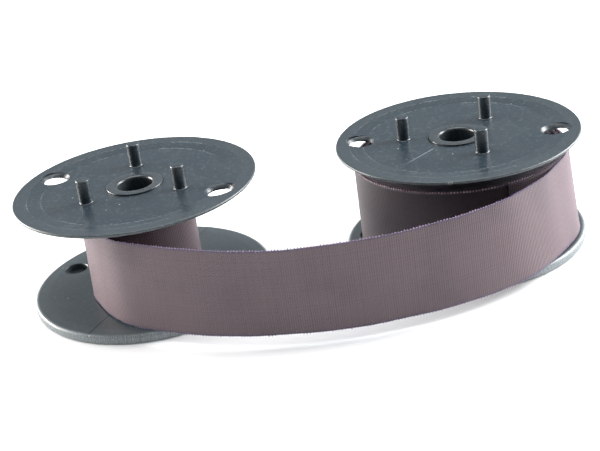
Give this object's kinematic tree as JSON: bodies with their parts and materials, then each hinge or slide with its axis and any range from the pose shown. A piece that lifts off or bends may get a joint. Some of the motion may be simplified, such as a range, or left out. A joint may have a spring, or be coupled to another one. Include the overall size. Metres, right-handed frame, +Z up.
{
  "type": "twin-spool ink ribbon",
  "caption": "Ink ribbon wound on two flanged spools with drive pins; one spool is nearly empty, the other nearly full, and the free ribbon loops round the front.",
  "frame": {"origin": "on the surface that the spools stand on, at the middle of the object's box", "axes": "+Z up along both spool axes, towards the drive pins; +X from the left spool to the right spool; -Y the front, where the free ribbon bulges"},
  "size_m": [0.084, 0.0438, 0.0203],
  "materials": {
    "spool_plastic": "moulded, satin gloss, blue-black",
    "hub_plastic": "moulded, satin gloss, blue-black",
    "inked_nylon": "fine plain-woven nylon soaked in violet-black ink",
    "eyelet_brass": "pressed and clinched"
  },
  "bodies": {
    "left_run": {"left_ribbon_run": "inked_nylon"},
    "right_run": {"right_ribbon_run": "inked_nylon"},
    "left_spool": {"left_drive_flange": "spool_plastic", "left_hub": "hub_plastic", "left_base_flange": "spool_plastic", "left_ribbon_wedge": "hub_plastic", "left_eyelet": "eyelet_brass", "left_winding": "inked_nylon"},
    "right_spool": {"right_drive_flange": "spool_plastic", "right_hub": "hub_plastic", "right_base_flange": "spool_plastic", "right_ribbon_wedge": "hub_plastic", "right_eyelet": "eyelet_brass", "right_winding": "inked_nylon"}
  },
  "joints": [
    {"name": "ribbon_flex", "type": "hinge", "parent": "left_run", "child": "right_run", "pos_m": [0.00151, -0.02167, 0], "axis": [0, 0, 1], "range_deg": [-40, 18]},
    {"name": "left_spool_spin", "type": "hinge", "parent": "left_run", "child": "left_spool", "pos_m": [-0.024, 0.00387, 0], "axis": [0, 0, 1], "continuous": true},
    {"name": "right_spool_spin", "type": "hinge", "parent": "right_run", "child": "right_spool", "pos_m": [0.024, 0.00387, 0], "axis": [0, 0, 1], "continuous": true}
  ],
  "couplings": [
    {"joint": "left_spool_spin", "follows": "right_spool_spin", "ratio": 1.9625}
  ]
}
